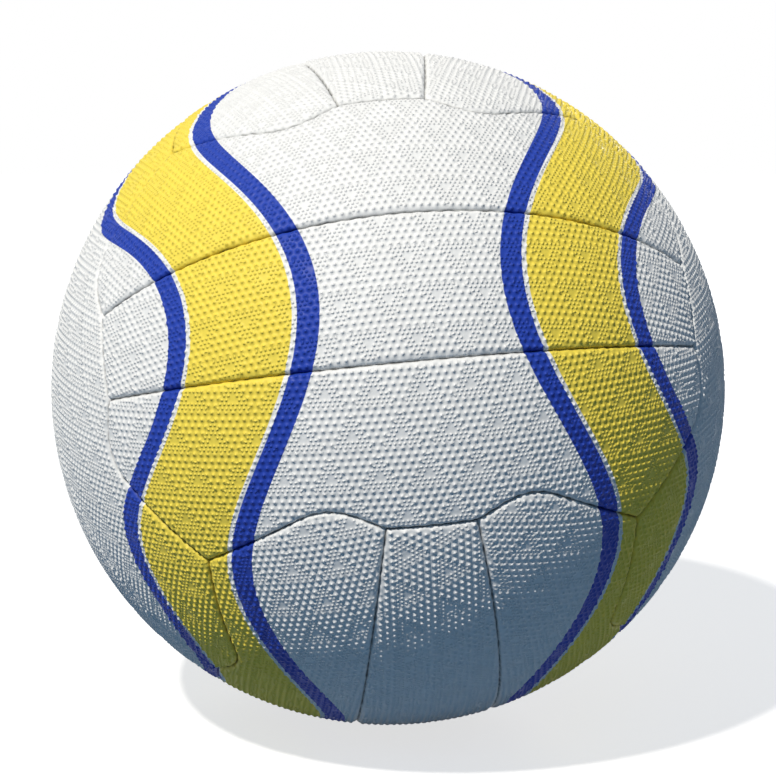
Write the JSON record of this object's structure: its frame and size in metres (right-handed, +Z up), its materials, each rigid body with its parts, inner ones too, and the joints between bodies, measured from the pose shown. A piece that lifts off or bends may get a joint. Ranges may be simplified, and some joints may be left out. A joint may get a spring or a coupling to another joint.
{
  "type": "netball",
  "caption": "Inflated netball: stitched grip-rubber strip panels with shaped ends over a rubber bladder, with a needle valve at the back, for throwing and catching.",
  "frame": {"origin": "the ball's centre", "axes": "+X to the viewer's right, +Y away from the viewer and +Z up, with the ball lying as it was rolled: its front group of strips is tipped up by 25 degrees"},
  "size_m": [0.2238, 0.2236, 0.2236],
  "materials": {
    "cover_grip_rubber": "matte white grip rubber on a fabric backing, pimpled, with a printed blue and yellow pattern",
    "bladder_rubber": "smooth black butyl rubber",
    "valve_rubber": "smooth black rubber",
    "valve_core_rubber": "smooth dark grey rubber"
  },
  "bodies": {
    "root": {"front_lower_panel": "cover_grip_rubber", "front_middle_panel": "cover_grip_rubber", "front_upper_panel": "cover_grip_rubber", "back_upper_panel": "cover_grip_rubber", "back_middle_panel": "cover_grip_rubber", "back_lower_panel": "cover_grip_rubber", "right_back_panel": "cover_grip_rubber", "right_middle_panel": "cover_grip_rubber", "right_front_panel": "cover_grip_rubber", "left_front_panel": "cover_grip_rubber", "left_middle_panel": "cover_grip_rubber", "left_back_panel": "cover_grip_rubber", "top_left_panel": "cover_grip_rubber", "top_middle_panel": "cover_grip_rubber", "top_right_panel": "cover_grip_rubber", "bottom_right_panel": "cover_grip_rubber", "bottom_middle_panel": "cover_grip_rubber", "bottom_left_panel": "cover_grip_rubber", "bladder": "bladder_rubber", "valve_housing": "valve_rubber", "valve_core": "valve_core_rubber"}
  },
  "joints": []
}
